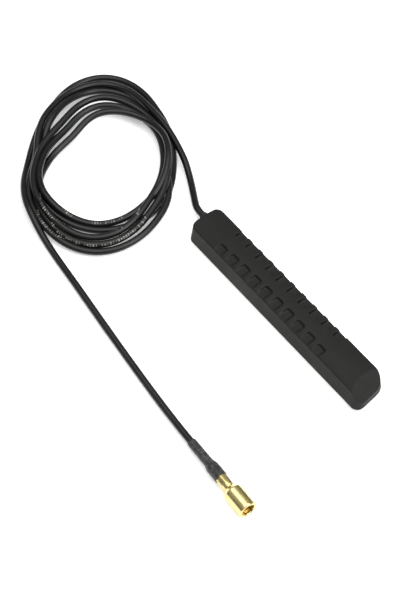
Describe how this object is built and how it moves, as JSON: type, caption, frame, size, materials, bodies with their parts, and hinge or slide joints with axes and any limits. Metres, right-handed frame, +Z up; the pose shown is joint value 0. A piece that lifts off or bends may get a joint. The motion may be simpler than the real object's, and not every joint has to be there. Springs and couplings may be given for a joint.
{
  "type": "adhesive cellular antenna",
  "caption": "Slim adhesive-mount cellular antenna bar with grip pockets, a coiled thin coaxial lead and a gold push-on coaxial plug.",
  "frame": {"origin": "centre of the housing's underside, on the plane the foot and the coil lie on", "axes": "+X along the housing away from the cable exit, +Z up from the adhesive foot"},
  "size_m": [0.1936, 0.0891, 0.01],
  "materials": {
    "cover": "fine spark-eroded texture",
    "base": "satin",
    "foam": "closed-cell acrylic foam tape, tacky",
    "liner": "silicone-coated release paper",
    "fr4": "green solder mask over glass epoxy",
    "copper": "bare copper, satin",
    "chip": "fired, with tinned ends",
    "solder": "reflowed solder, bright",
    "boot": "moulded, semi-matt",
    "pvc": "flexible PVC, soft gloss",
    "braid": "tinned copper braid",
    "dielectric": "natural polyethylene",
    "shrink": "polyolefin, shrunk tight",
    "gold": "gold plated, bright",
    "ptfe": "PTFE, waxy"
  },
  "bodies": {
    "antenna": {"top_cover": "cover", "base_plate": "base", "foam_tape": "foam", "antenna_board": "fr4", "low_band_arm": "copper", "high_band_arm": "copper", "ground_pad": "copper", "matching_inductor": "chip", "matching_capacitor": "chip", "solder_signal": "solder", "solder_ground": "solder", "ground_clip": "gold", "strain_relief_boot": "boot", "jacket_tail": "pvc", "braid_tail": "braid", "dielectric_tail": "dielectric", "conductor_tail": "copper"},
    "cable": {"cable_jacket": "pvc", "cable_braid": "braid", "cable_dielectric": "dielectric", "cable_conductor": "copper"},
    "plug": {"jacket_stub": "pvc", "braid_stub": "braid", "dielectric_stub": "dielectric", "conductor_stub": "copper", "heat_shrink": "shrink", "crimp_ferrule": "gold", "plug_body": "gold", "plug_shell": "gold", "outer_contact": "gold", "insulator": "ptfe", "centre_contact": "gold"},
    "liner": {"release_liner": "liner"}
  },
  "joints": [
    {"name": "boot_flex", "type": "hinge", "parent": "antenna", "child": "cable", "pos_m": [-0.055, 0.002, 0.0033], "axis": [0, 0, 1], "range_deg": [-15, 15]},
    {"name": "plug_flex", "type": "hinge", "parent": "cable", "child": "plug", "pos_m": [0.0208, -0.06159, 0.00221], "axis": [0, 0, 1], "range_deg": [-25, 25]},
    {"name": "liner_peel", "type": "hinge", "parent": "antenna", "child": "liner", "pos_m": [-0.0475, 0, 0.0002], "axis": [0, 1, 0], "range_deg": [0, 60]}
  ]
}
